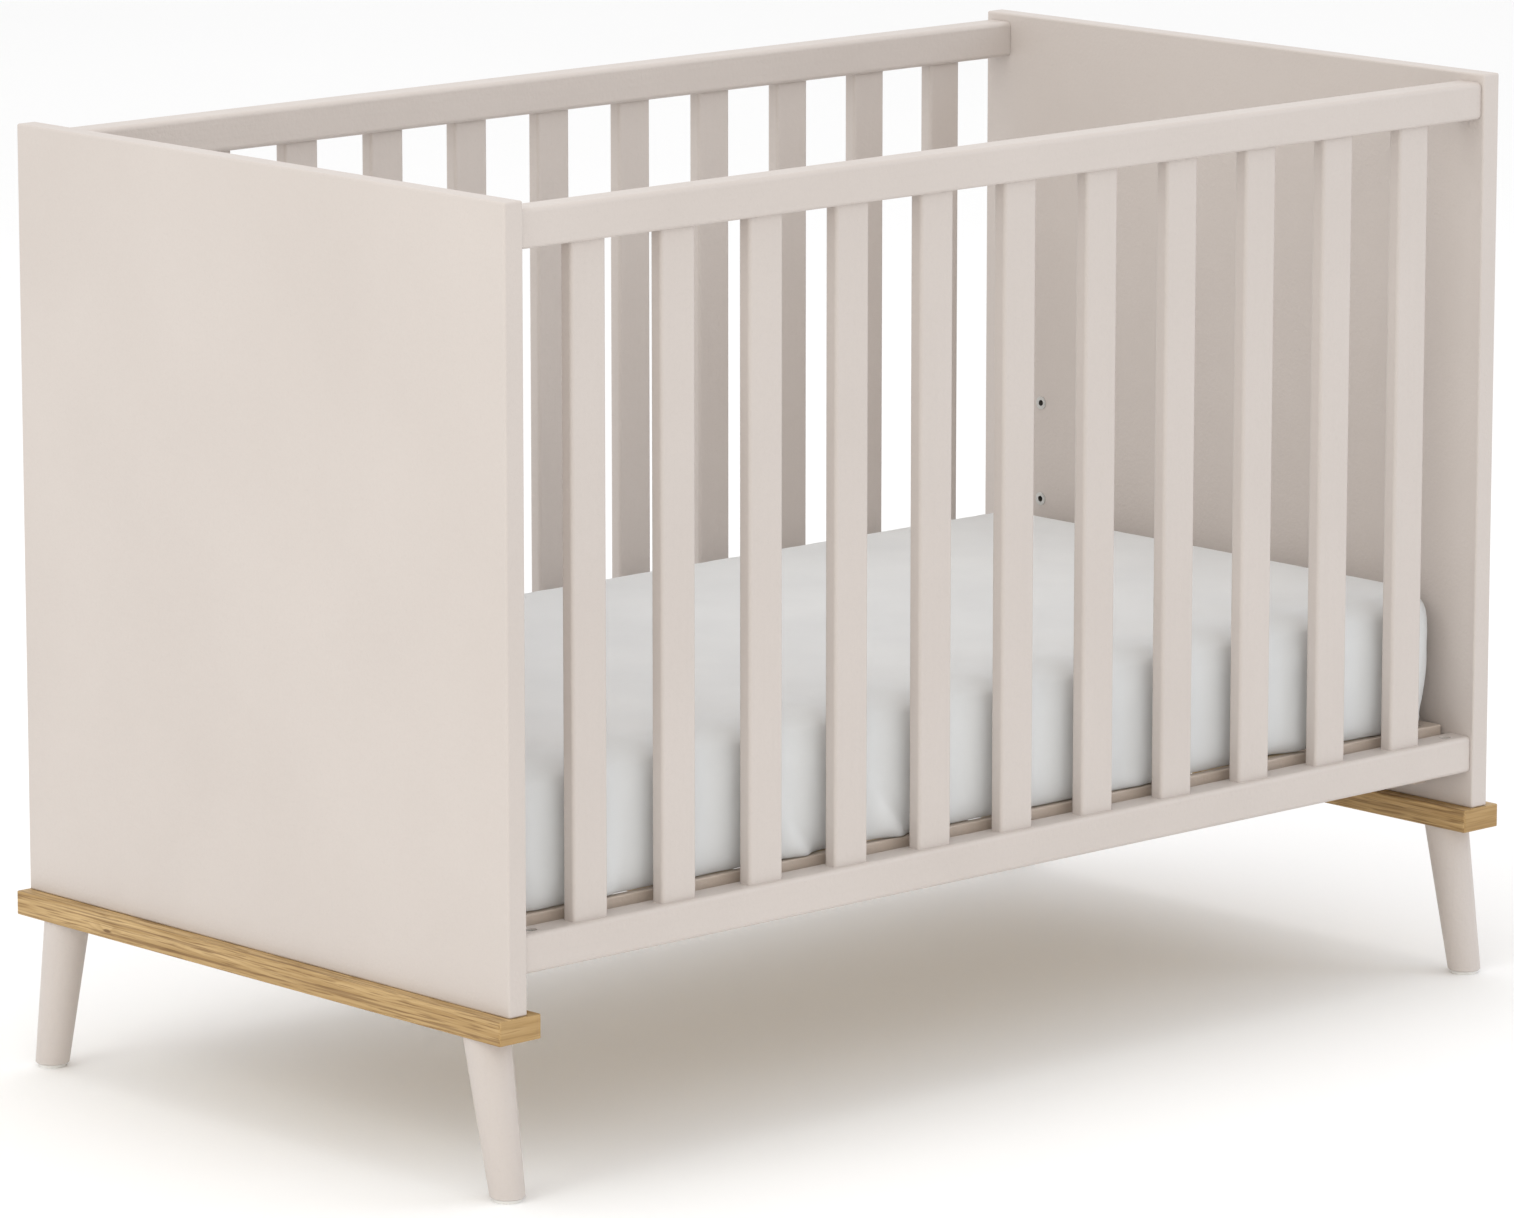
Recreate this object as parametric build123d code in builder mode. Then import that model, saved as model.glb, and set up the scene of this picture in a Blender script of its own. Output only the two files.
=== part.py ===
"""Baby crib: solid end panels on oak boards and splayed legs, two barred sides, a slatted base that can be
set at four heights, and a mattress in a fitted sheet.

Frame: millimetres, origin on the floor under the middle of the crib. X runs along the crib from the left
end panel to the right one, -Y is the front side, and +Z is up.
"""

import os
from math import atan2, degrees

from build123d import *

os.makedirs("parts", exist_ok=True)

# ---------------------------------------------------------------- driving dimensions
inner_length = 1205.0  # between the end panels, for a mattress 1200 long
crib_width = 672.0  # width of an end panel
leg_height = 144.0  # floor to the underside of the oak board
board_thickness = 22.0
panel_height = 710.0

panel_thickness = 21.0
panel_edge_radius = 2.0

board_overhang = 13.5  # past each face of the end panel
board_end_overhang = 3.0  # past each edge of the end panel
board_corner_radius = 2.5
board_edge_radius = 1.2

leg_top_diameter = 42.0
leg_foot_diameter = 31.0
leg_top_y = 294.0  # leg axis at the board
leg_foot_y = 321.0  # leg axis at the floor
leg_foot_chamfer = 1.2
glide_diameter = 26.0
glide_thickness = 3.0

rail_height = 35.0
rail_depth = 30.0
rail_radius = 4.5
rail_end_radius = 1.0
rail_setback = 3.5  # rail's outer face behind the panel's edge
bottom_rail_lift = 35.0  # above the underside of the panel
top_rail_drop = 8.0  # below the top of the panel

bar_count = 11
bar_width = 40.0
bar_thickness = 15.0
bar_radius = 3.5
tenon_width = 30.0
tenon_thickness = 9.0
tenon_length = 12.0
mortise_clearance = 0.5  # below the end of the tenon

cam_diameter = 12.0
cam_setback = 20.0  # from the rail's end to the cam's axis
cam_depth = 22.0
cam_rim = 1.5  # the housing sits this far below the rail's surface
cam_bolt_height = 20.0  # in the rail, from the face without the cam hole
cam_bolt_diameter = 6.0
cam_bolt_depth = 12.0  # in the end panel
cam_bolt_head = 3.0  # length of the head, up to the cam's axis
cam_bolt_neck = 4.0  # both the neck's diameter and its length
cam_channel = 7.0  # bore that the bolt runs in
cam_bore_past_axis = 3.0
dowel_diameter = 8.0
dowel_height = 7.5  # in the rail, from the face without the cam hole
dowel_half_length = 12.0
recess_length = 7.0  # cross recess of a screw or a cam
recess_width = 1.3
recess_depth = 1.5

insert_rows = 4
insert_pitch = 98.0
lowest_insert = 27.0  # above the underside of the panel
insert_y = 255.0
insert_diameter = 10.0
insert_length = 13.0
insert_collar = 13.0
insert_collar_proud = 0.8
thread_diameter = 6.0

screw_spacing = 110.0  # of the five long screws under each panel
plinth_screw_count = 5
plinth_screw_length = 50.0
plinth_screw_diameter = 5.0
plinth_screw_head = 10.0

stud_diameter = 8.0
stud_in_leg = 28.0
sleeve_diameter = 12.0
sleeve_length = 16.0

base_top = 77.0  # above the underside of the panel
base_length = 1200.0
base_width = 594.0
side_height = 45.0
end_height = 60.0
base_board = 18.0  # thickness of the side and end members
base_edge_radius = 1.5
slat_count = 8
slat_width = 95.0
slat_thickness = 12.0
slat_seat = 10.0  # how far a slat reaches over the side member
slat_clearance = 0.3
slat_edge_radius = 1.5
slat_screw_length = 30.0
slat_screw_diameter = 4.0
slat_screw_head = 8.0
corner_screw_length = 50.0
corner_screw_diameter = 5.0
corner_screw_head = 8.0
corner_screw_heights = (9.0, 23.0)  # above the underside of the side member
bolt_clearance = 0.4  # between a base bolt and the base
base_bolt_head = 14.0
base_bolt_head_length = 4.5
hex_socket = 5.0
hex_socket_depth = 2.5

mattress_length = 1196.0
mattress_width = 596.0
mattress_thickness = 140.0
mattress_corner_radius = 38.0
mattress_edge_radius = 22.0
mattress_clearance = 0.2  # above the base
sheet_thickness = 1.5
hem_width = 60.0  # of the sheet turned in under the mattress

# ---------------------------------------------------------------- positions worked out from them
board_top = leg_height + board_thickness  # the end panel stands on this
panel_top = board_top + panel_height
panel_inner = inner_length / 2
panel_middle = panel_inner + panel_thickness / 2
board_width = panel_thickness + 2 * board_overhang
board_length = crib_width + 2 * board_end_overhang

rail_y = crib_width / 2 - rail_setback - rail_depth / 2
bottom_rail_z = board_top + bottom_rail_lift  # underside of the bottom rail
top_rail_z = panel_top - top_rail_drop - rail_height  # underside of the top rail
bar_gap = (inner_length - bar_count * bar_width) / (bar_count + 1)
bar_pitch = bar_width + bar_gap
bar_bottom = bottom_rail_z + rail_height
bar_length = top_rail_z - bar_bottom
cam_x = panel_inner - cam_setback

insert_z = [board_top + lowest_insert + row * insert_pitch for row in range(insert_rows)]
screw_y = [(i - (plinth_screw_count - 1) / 2) * screw_spacing for i in range(plinth_screw_count)]

base_top_z = board_top + base_top
side_bottom_z = base_top_z - side_height
side_y = base_width / 2 - base_board / 2
end_bottom_z = base_top_z - end_height
end_x = base_length / 2 - base_board / 2
end_span = base_width - 2 * base_board
slat_span = end_span + 2 * (slat_seat - slat_clearance)
slat_pitch = (base_length - 2 * base_board) / slat_count
slat_x = [(i - (slat_count - 1) / 2) * slat_pitch for i in range(slat_count)]

sides = {"front": -1, "back": 1}
ends = {"left": -1, "right": 1}


def write(piece, name):
    """Label a finished piece and write it as its own STEP file."""
    piece.part.label = name
    export_step(piece.part, f"parts/{name}.step")


def facing(x, y, z, direction):
    """A plane at a point, with its normal along the given direction."""
    return Plane(origin=(x, y, z), z_dir=direction)


def cross_recess(plane):
    """Cut a cross recess into the face that lies in the plane, against the plane's normal."""
    with BuildSketch(plane) as cross:
        Rectangle(recess_length, recess_width)
        Rectangle(recess_width, recess_length)
    extrude(cross.sketch, amount=-recess_depth, mode=Mode.SUBTRACT)


def round_section(plane, diameter, length, mode=Mode.ADD):
    """A round bar or hole that starts in the plane and runs along its normal."""
    with BuildSketch(plane) as section:
        Circle(diameter / 2)
    extrude(section.sketch, amount=length, mode=mode)


def countersunk_screw(plane, head, shank, length, mode=Mode.ADD):
    """A countersunk screw, or its hole: the head lies in the plane and the tip points along its normal."""
    cone = (head - shank) / 2
    with BuildSketch(plane) as rim:
        Circle(head / 2)
    with BuildSketch(plane.offset(cone)) as neck:
        Circle(shank / 2)
    loft([rim.sketch, neck.sketch], mode=mode)
    round_section(plane.offset(cone), shank, length - cone, mode)


# ---------------------------------------------------------------- end panels
def rail_levels():
    """For each rail of a side: its name, its underside, and which way its cam hole faces."""
    return [("bottom", bottom_rail_z, 1), ("top", top_rail_z, -1)]


def height_in_rail(underside, cam_side, height):
    """A height in the rail, counted from the face that has no cam hole."""
    return underside + height if cam_side > 0 else underside + rail_height - height


for end, sx in ends.items():
    inner_face = sx * panel_inner
    with BuildPart() as panel:
        with BuildSketch(Plane.XY.offset(board_top)):
            with Locations((sx * panel_middle, 0)):
                Rectangle(panel_thickness, crib_width)
        extrude(amount=panel_height)
        fillet(panel.edges(), panel_edge_radius)
        for sy in sides.values():
            for z in insert_z:
                mouth = facing(inner_face, sy * insert_y, z, (sx, 0, 0))
                round_section(mouth, insert_diameter, insert_length, Mode.SUBTRACT)
            for level, underside, cam_side in rail_levels():
                bolt_z = height_in_rail(underside, cam_side, cam_bolt_height)
                dowel_z = height_in_rail(underside, cam_side, dowel_height)
                bolt_mouth = facing(inner_face, sy * rail_y, bolt_z, (sx, 0, 0))
                round_section(bolt_mouth, cam_bolt_diameter, cam_bolt_depth, Mode.SUBTRACT)
                dowel_mouth = facing(inner_face, sy * rail_y, dowel_z, (sx, 0, 0))
                round_section(dowel_mouth, dowel_diameter, dowel_half_length, Mode.SUBTRACT)
        for y in screw_y:
            screw_mouth = facing(sx * panel_middle, y, board_top, (0, 0, 1))
            screw_depth = plinth_screw_length - board_thickness
            round_section(screw_mouth, plinth_screw_diameter, screw_depth, Mode.SUBTRACT)
    write(panel, f"{end}_end_panel")

# ---------------------------------------------------------------- oak boards under the panels
for end, sx in ends.items():
    with BuildPart() as board:
        with BuildSketch(Plane.XY.offset(leg_height)):
            with Locations((sx * panel_middle, 0)):
                RectangleRounded(board_width, board_length, board_corner_radius)
        extrude(amount=board_thickness)
        fillet(board.faces().filter_by(Axis.Z).edges(), board_edge_radius)
        for y in screw_y:
            countersunk_screw(
                facing(sx * panel_middle, y, leg_height, (0, 0, 1)),
                plinth_screw_head,
                plinth_screw_diameter,
                board_thickness,
                Mode.SUBTRACT,
            )
        for sy in sides.values():
            sleeve_mouth = facing(sx * panel_middle, sy * leg_top_y, leg_height, (0, 0, 1))
            round_section(sleeve_mouth, sleeve_diameter, sleeve_length, Mode.SUBTRACT)
    write(board, f"{end}_plinth_board")

with BuildPart() as plinth_screws:
    for sx in ends.values():
        for y in screw_y:
            head_plane = facing(sx * panel_middle, y, leg_height, (0, 0, 1))
            countersunk_screw(head_plane, plinth_screw_head, plinth_screw_diameter, plinth_screw_length)
            cross_recess(facing(sx * panel_middle, y, leg_height, (0, 0, -1)))
write(plinth_screws, "plinth_screws")

# ---------------------------------------------------------------- splayed legs
leg_run = leg_foot_y - leg_top_y
leg_slope = leg_run / leg_height  # outwards for each millimetre down
leg_tilt = degrees(atan2(leg_run, leg_height))
axis_stretch = (1 + leg_slope**2) ** 0.5  # length along the leg's axis for each millimetre of height
leg_spare = 12.0  # cut off above the board's underside and below the glide


def leg_section(sx, sy, height):
    """The plane square to the leg's axis, where the axis passes the given height."""
    y = sy * (leg_foot_y - height * leg_slope)
    return Plane(origin=(sx * panel_middle, y, height), z_dir=(0, -sy * leg_slope, 1))


def leg_diameter(height):
    """Diameter of the leg's even taper at a height above the floor."""
    return leg_foot_diameter + (leg_top_diameter - leg_foot_diameter) * height / leg_height


for end, sx in ends.items():
    for side, sy in sides.items():
        with BuildPart() as leg:
            for height in (-leg_spare, leg_height + leg_spare):
                with BuildSketch(leg_section(sx, sy, height)):
                    Circle(leg_diameter(height) / 2)
            loft()
            split(bisect_by=Plane.XY.offset(leg_height), keep=Keep.BOTTOM)
            split(bisect_by=Plane.XY.offset(glide_thickness), keep=Keep.TOP)
            chamfer(leg.faces().sort_by(Axis.Z)[0].edges(), leg_foot_chamfer)
            stud_mouth = facing(sx * panel_middle, sy * leg_top_y, leg_height, (0, 0, -1))
            round_section(stud_mouth, stud_diameter, stud_in_leg, Mode.SUBTRACT)
        write(leg, f"leg_{side}_{end}")

corners = [(sx, sy) for sx in ends.values() for sy in sides.values()]

with BuildPart() as foot_glides:
    for sx, sy in corners:
        foot_y = sy * (leg_foot_y - glide_thickness * leg_slope)
        round_section(facing(sx * panel_middle, foot_y, 0, (0, 0, 1)), glide_diameter, glide_thickness)
write(foot_glides, "foot_glides")

with BuildPart() as leg_studs:
    for sx, sy in corners:
        low_end = facing(sx * panel_middle, sy * leg_top_y, leg_height - stud_in_leg, (0, 0, 1))
        round_section(low_end, stud_diameter, stud_in_leg + sleeve_length)
write(leg_studs, "leg_studs")

with BuildPart() as leg_sleeves:
    for sx, sy in corners:
        low_end = facing(sx * panel_middle, sy * leg_top_y, leg_height, (0, 0, 1))
        round_section(low_end, sleeve_diameter, sleeve_length)
        round_section(low_end, stud_diameter, sleeve_length, Mode.SUBTRACT)
write(leg_sleeves, "leg_sleeves")

# ---------------------------------------------------------------- rails
for side, sy in sides.items():
    for level, underside, cam_side in rail_levels():
        cam_face = underside + rail_height if cam_side > 0 else underside
        with BuildPart() as rail:
            with BuildSketch(Plane.YZ.offset(-panel_inner)):
                with Locations((sy * rail_y, underside + rail_height / 2)):
                    RectangleRounded(rail_depth, rail_height, rail_radius)
            extrude(amount=inner_length)
            fillet(rail.faces().filter_by(Axis.X).edges(), rail_end_radius)
            with BuildSketch(facing(0, sy * rail_y, cam_face, (0, 0, -cam_side))):
                with GridLocations(bar_pitch, 1, bar_count, 1):
                    Rectangle(tenon_width, tenon_thickness)
            extrude(amount=tenon_length + mortise_clearance, mode=Mode.SUBTRACT)
            for sx in ends.values():
                round_section(
                    facing(sx * cam_x, sy * rail_y, cam_face, (0, 0, -cam_side)),
                    cam_diameter,
                    cam_depth,
                    Mode.SUBTRACT,
                )
                bolt_z = height_in_rail(underside, cam_side, cam_bolt_height)
                dowel_z = height_in_rail(underside, cam_side, dowel_height)
                bolt_mouth = facing(sx * panel_inner, sy * rail_y, bolt_z, (-sx, 0, 0))
                round_section(bolt_mouth, cam_channel, cam_setback, Mode.SUBTRACT)
                dowel_mouth = facing(sx * panel_inner, sy * rail_y, dowel_z, (-sx, 0, 0))
                round_section(dowel_mouth, dowel_diameter, dowel_half_length, Mode.SUBTRACT)
        write(rail, f"{side}_{level}_rail")


def rail_ends():
    """For each rail end: its signs, the cam face's height and side, and the bolt and dowel heights."""
    for sx, sy in corners:
        for level, underside, cam_side in rail_levels():
            cam_face = underside + rail_height if cam_side > 0 else underside
            bolt_z = height_in_rail(underside, cam_side, cam_bolt_height)
            dowel_z = height_in_rail(underside, cam_side, dowel_height)
            yield sx, sy, cam_face, cam_side, bolt_z, dowel_z


with BuildPart() as rail_cam_housings:
    for sx, sy, cam_face, cam_side, bolt_z, dowel_z in rail_ends():
        rim = facing(sx * cam_x, sy * rail_y, cam_face - cam_side * cam_rim, (0, 0, -cam_side))
        round_section(rim, cam_diameter, cam_depth - cam_rim)
        head_bore = facing(sx * (cam_x - cam_bore_past_axis), sy * rail_y, bolt_z, (sx, 0, 0))
        round_section(head_bore, cam_channel, cam_diameter, Mode.SUBTRACT)
        cross_recess(facing(sx * cam_x, sy * rail_y, cam_face - cam_side * cam_rim, (0, 0, cam_side)))
write(rail_cam_housings, "rail_cam_housings")

with BuildPart() as rail_cam_bolts:
    for sx, sy, cam_face, cam_side, bolt_z, dowel_z in rail_ends():
        axis_end = facing(sx * cam_x, sy * rail_y, bolt_z, (sx, 0, 0))
        head_and_neck = cam_bolt_head + cam_bolt_neck
        shaft_length = cam_bolt_depth + cam_setback - head_and_neck
        round_section(axis_end, cam_bolt_diameter, cam_bolt_head)
        round_section(axis_end.offset(cam_bolt_head), cam_bolt_neck, cam_bolt_neck)
        round_section(axis_end.offset(head_and_neck), cam_bolt_diameter, shaft_length)
write(rail_cam_bolts, "rail_cam_bolts")

with BuildPart() as rail_dowels:
    for sx, sy, cam_face, cam_side, bolt_z, dowel_z in rail_ends():
        inner_end = facing(sx * (panel_inner - dowel_half_length), sy * rail_y, dowel_z, (sx, 0, 0))
        round_section(inner_end, dowel_diameter, 2 * dowel_half_length)
write(rail_dowels, "rail_dowels")

# ---------------------------------------------------------------- bars
for side, sy in sides.items():
    for number in range(bar_count):
        x = (number - (bar_count - 1) / 2) * bar_pitch
        with BuildPart() as bar:
            with BuildSketch(Plane.XY.offset(bar_bottom)):
                with Locations((x, sy * rail_y)):
                    RectangleRounded(bar_width, bar_thickness, bar_radius)
            extrude(amount=bar_length)
            with BuildSketch(Plane.XY.offset(bar_bottom - tenon_length)):
                with Locations((x, sy * rail_y)):
                    Rectangle(tenon_width, tenon_thickness)
            extrude(amount=bar_length + 2 * tenon_length)
        write(bar, f"{side}_bar_{number + 1:02d}")

# ---------------------------------------------------------------- inserts for the base heights
with BuildPart() as height_inserts:
    for sx, sy in corners:
        for z in insert_z:
            inner_end = facing(sx * (panel_inner + insert_length), sy * insert_y, z, (-sx, 0, 0))
            collar_face = facing(sx * panel_inner, sy * insert_y, z, (-sx, 0, 0))
            round_section(inner_end, insert_diameter, insert_length)
            round_section(collar_face, insert_collar, insert_collar_proud)
            round_section(inner_end, thread_diameter, insert_length + insert_collar_proud, Mode.SUBTRACT)
write(height_inserts, "height_inserts")

with BuildPart() as base_bolts:
    for sx, sy in corners:
        head_x = base_length / 2 - base_board - bolt_clearance
        tip = facing(sx * (panel_inner + insert_length), sy * insert_y, insert_z[0], (-sx, 0, 0))
        head = facing(sx * head_x, sy * insert_y, insert_z[0], (-sx, 0, 0))
        round_section(tip, thread_diameter, panel_inner + insert_length - head_x)
        round_section(head, base_bolt_head, base_bolt_head_length)
        with BuildSketch(head.offset(base_bolt_head_length - hex_socket_depth)):
            RegularPolygon(hex_socket / 2, 6, major_radius=False)
        extrude(amount=hex_socket_depth, mode=Mode.SUBTRACT)
write(base_bolts, "base_bolts")

# ---------------------------------------------------------------- height-adjustable base
corner_screw_z = [side_bottom_z + height for height in corner_screw_heights]

for side, sy in sides.items():
    with BuildPart() as member:
        with BuildSketch(Plane.XY.offset(side_bottom_z)):
            with Locations((0, sy * side_y)):
                Rectangle(base_length, base_board)
        extrude(amount=side_height)
        fillet(member.edges(), base_edge_radius)
        with BuildSketch(Plane.XY.offset(base_top_z - slat_thickness)):
            with Locations((0, sy * (end_span / 2 + slat_seat / 2))):
                Rectangle(base_length - 2 * base_board, slat_seat)
        extrude(amount=slat_thickness, mode=Mode.SUBTRACT)
        for x in slat_x:
            seat_y = sy * (end_span / 2 + slat_seat / 2)
            seat = facing(x, seat_y, base_top_z - slat_thickness, (0, 0, -1))
            round_section(seat, slat_screw_diameter, slat_screw_length - slat_thickness, Mode.SUBTRACT)
        for sx in ends.values():
            for z in corner_screw_z:
                outer_face = facing(sx * end_x, sy * base_width / 2, z, (0, -sy, 0))
                countersunk_screw(
                    outer_face, corner_screw_head, corner_screw_diameter, base_board, Mode.SUBTRACT
                )
    write(member, f"base_{side}_side")

slot_width = thread_diameter + 2 * bolt_clearance
slot_depth = insert_z[0] - end_bottom_z
for end, sx in ends.items():
    with BuildPart() as member:
        with BuildSketch(Plane.XY.offset(end_bottom_z)):
            with Locations((sx * end_x, 0)):
                Rectangle(base_board, end_span)
        extrude(amount=end_height)
        fillet(member.edges().filter_by(Axis.Y), base_edge_radius)
        for sy in sides.values():
            slot_roof = facing(sx * (end_x - base_board / 2), sy * insert_y, insert_z[0], (sx, 0, 0))
            round_section(slot_roof, slot_width, base_board, Mode.SUBTRACT)
            with BuildSketch(Plane.XY.offset(end_bottom_z)):
                with Locations((sx * end_x, sy * insert_y)):
                    Rectangle(base_board, slot_width)
            extrude(amount=slot_depth, mode=Mode.SUBTRACT)
            for z in corner_screw_z:
                end_grain = facing(sx * end_x, sy * end_span / 2, z, (0, -sy, 0))
                screw_depth = corner_screw_length - base_board
                round_section(end_grain, corner_screw_diameter, screw_depth, Mode.SUBTRACT)
    write(member, f"base_{end}_end")

for number, x in enumerate(slat_x, start=1):
    with BuildPart() as slat:
        with BuildSketch(Plane.XY.offset(base_top_z - slat_thickness)):
            with Locations((x, 0)):
                Rectangle(slat_width, slat_span)
        extrude(amount=slat_thickness)
        fillet(slat.edges().filter_by(Axis.Y), slat_edge_radius)
        for sy in sides.values():
            head_plane = facing(x, sy * (end_span / 2 + slat_seat / 2), base_top_z, (0, 0, -1))
            countersunk_screw(
                head_plane, slat_screw_head, slat_screw_diameter, slat_thickness, Mode.SUBTRACT
            )
    write(slat, f"base_slat_{number}")

with BuildPart() as slat_screws:
    for x in slat_x:
        for sy in sides.values():
            head_plane = facing(x, sy * (end_span / 2 + slat_seat / 2), base_top_z, (0, 0, -1))
            countersunk_screw(head_plane, slat_screw_head, slat_screw_diameter, slat_screw_length)
write(slat_screws, "slat_screws")

with BuildPart() as base_corner_screws:
    for sx, sy in corners:
        for z in corner_screw_z:
            outer_face = facing(sx * end_x, sy * base_width / 2, z, (0, -sy, 0))
            countersunk_screw(outer_face, corner_screw_head, corner_screw_diameter, corner_screw_length)
write(base_corner_screws, "base_corner_screws")

# ---------------------------------------------------------------- mattress and fitted sheet
sheet_bottom = base_top_z + mattress_clearance
core_bottom = sheet_bottom + sheet_thickness


with BuildPart() as mattress_core:
    with BuildSketch(Plane.XY.offset(core_bottom)):
        RectangleRounded(
            mattress_length - 2 * sheet_thickness,
            mattress_width - 2 * sheet_thickness,
            mattress_corner_radius - sheet_thickness,
        )
    extrude(amount=mattress_thickness - 2 * sheet_thickness)
    core_faces = mattress_core.faces().filter_by(Plane.XY)
    fillet(core_faces.edges(), mattress_edge_radius - sheet_thickness)
write(mattress_core, "mattress_core")

with BuildPart() as fitted_sheet:
    with BuildSketch(Plane.XY.offset(sheet_bottom)):
        RectangleRounded(mattress_length, mattress_width, mattress_corner_radius)
    extrude(amount=mattress_thickness)
    sheet_faces = fitted_sheet.faces().filter_by(Plane.XY)
    fillet(sheet_faces.edges(), mattress_edge_radius)
    add(mattress_core.part, mode=Mode.SUBTRACT)
    with BuildSketch(Plane.XY.offset(sheet_bottom)):
        RectangleRounded(
            mattress_length - 2 * (mattress_edge_radius + hem_width),
            mattress_width - 2 * (mattress_edge_radius + hem_width),
            mattress_corner_radius / 2,
        )
    extrude(amount=sheet_thickness, mode=Mode.SUBTRACT)
write(fitted_sheet, "fitted_sheet")

print("bar gap", round(bar_gap, 2), "leg tilt", round(leg_tilt, 2), "height", panel_top)
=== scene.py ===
import math

import bmesh
import bpy
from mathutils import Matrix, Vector, noise


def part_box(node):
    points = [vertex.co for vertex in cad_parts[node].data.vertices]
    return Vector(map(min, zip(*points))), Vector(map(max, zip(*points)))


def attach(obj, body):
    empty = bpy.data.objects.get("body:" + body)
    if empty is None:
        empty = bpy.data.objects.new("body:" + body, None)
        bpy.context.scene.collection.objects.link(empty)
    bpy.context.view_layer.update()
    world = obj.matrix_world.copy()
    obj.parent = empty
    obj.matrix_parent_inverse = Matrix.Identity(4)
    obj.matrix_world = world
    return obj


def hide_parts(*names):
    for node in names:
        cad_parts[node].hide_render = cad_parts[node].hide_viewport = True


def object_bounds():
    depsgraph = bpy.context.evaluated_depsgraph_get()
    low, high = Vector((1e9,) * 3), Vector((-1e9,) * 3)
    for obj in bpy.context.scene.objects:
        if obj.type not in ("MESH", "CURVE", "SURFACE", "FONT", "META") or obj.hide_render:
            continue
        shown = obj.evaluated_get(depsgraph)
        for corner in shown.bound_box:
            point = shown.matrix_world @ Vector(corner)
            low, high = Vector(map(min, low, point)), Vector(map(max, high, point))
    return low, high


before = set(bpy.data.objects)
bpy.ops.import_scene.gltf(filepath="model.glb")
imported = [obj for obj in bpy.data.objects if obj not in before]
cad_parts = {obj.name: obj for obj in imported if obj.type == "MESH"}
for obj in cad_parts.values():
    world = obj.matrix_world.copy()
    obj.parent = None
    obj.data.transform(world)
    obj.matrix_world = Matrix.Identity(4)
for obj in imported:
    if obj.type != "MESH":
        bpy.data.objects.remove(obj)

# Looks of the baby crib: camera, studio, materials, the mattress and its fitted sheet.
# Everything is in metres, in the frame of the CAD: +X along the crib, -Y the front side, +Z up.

cad_low, cad_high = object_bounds()
centre = (cad_low + cad_high) / 2
scene = bpy.context.scene


# ---------------------------------------------------------------- camera, floor, light

AZIMUTH = math.radians(-42.732)
ELEVATION = math.radians(11.2185)
DISTANCE = 7.6099            # from the camera to the middle of the crib
AIM_RIGHT = -0.01663         # where the camera looks, beside the middle of the crib
AIM_UP = -0.04344
LENS = 193.44                # mm, on a 36 mm wide sensor


def add_camera():
    """The photo's view: a long lens, a little above the top rails, left of the front."""
    back = Vector((math.sin(AZIMUTH) * math.cos(ELEVATION),
                   -math.cos(AZIMUTH) * math.cos(ELEVATION),
                   math.sin(ELEVATION)))
    turn = (-back).to_track_quat("-Z", "Y")
    right = turn @ Vector((1, 0, 0))
    up = turn @ Vector((0, 1, 0))
    data = bpy.data.cameras.new("camera")
    data.lens = LENS
    data.sensor_width = 36
    camera = bpy.data.objects.new("camera", data)
    camera.rotation_mode = "QUATERNION"
    camera.rotation_quaternion = turn
    camera.location = centre + back * DISTANCE + right * AIM_RIGHT + up * AIM_UP
    scene.collection.objects.link(camera)
    scene.camera = camera


def add_softbox(name, place, size, watts, tint=(1, 1, 1)):
    """A square studio light at a place round the crib, turned towards the crib."""
    data = bpy.data.lights.new(name, "AREA")
    data.shape = "SQUARE"
    data.size = size
    data.energy = watts
    data.color = tint
    lamp = bpy.data.objects.new(name, data)
    lamp.location = place
    lamp.rotation_mode = "QUATERNION"
    lamp.rotation_quaternion = (centre - Vector(place)).to_track_quat("-Z", "Y")
    lamp.visible_camera = False
    scene.collection.objects.link(lamp)


def add_studio():
    """White surroundings and four softboxes."""
    world = bpy.data.worlds.new("studio")
    world.use_nodes = True
    background = world.node_tree.nodes["Background"]
    background.inputs["Color"].default_value = (1.0, 1.0, 1.0, 1)
    background.inputs["Strength"].default_value = 0.97
    scene.world = world
    scene.view_settings.view_transform = "Standard"
    add_softbox("key_light", (-3.8, -3.6, 2.6), 2.6, 29, (1.0, 0.92, 0.76))
    add_softbox("side_light", (-4.6, -0.2, 3.6), 2.4, 42, (0.97, 1.0, 0.96))
    add_softbox("right_light", (3.4, -3.2, 2.6), 2.0, 20, (0.72, 0.84, 1.0))
    add_softbox("top_light", (0.0, 0.4, 4.8), 3.0, 34, (1.0, 0.94, 0.90))


def add_floor():
    """A plain pale floor, large enough to fill every view."""
    mesh = bpy.data.meshes.new("floor")
    half = 30
    corners = [(-half, -half, 0), (half, -half, 0), (half, half, 0), (-half, half, 0)]
    mesh.from_pydata(corners, [], [(0, 1, 2, 3)])
    floor = bpy.data.objects.new("floor", mesh)
    scene.collection.objects.link(floor)
    mesh.materials.append(floor_material())


# ---------------------------------------------------------------- node helpers

def new_material(name):
    """A new material, with its node tree and its shader node."""
    material = bpy.data.materials.new(name)
    material.use_nodes = True
    tree = material.node_tree
    return material, tree, tree.nodes["Principled BSDF"]


def node(tree, kind, inputs=None, **properties):
    """Adds a node. Each input is a value, or the output socket of another node."""
    made = tree.nodes.new(kind)
    for key, value in properties.items():
        setattr(made, key, value)
    for key, value in (inputs or {}).items():
        if isinstance(value, bpy.types.NodeSocket):
            tree.links.new(value, made.inputs[key])
        else:
            made.inputs[key].default_value = value
    return made


def calc(tree, operation, a, b=0.0):
    """One Math node."""
    made = node(tree, "ShaderNodeMath", {0: a, 1: b}, operation=operation)
    return made.outputs[0]


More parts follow.
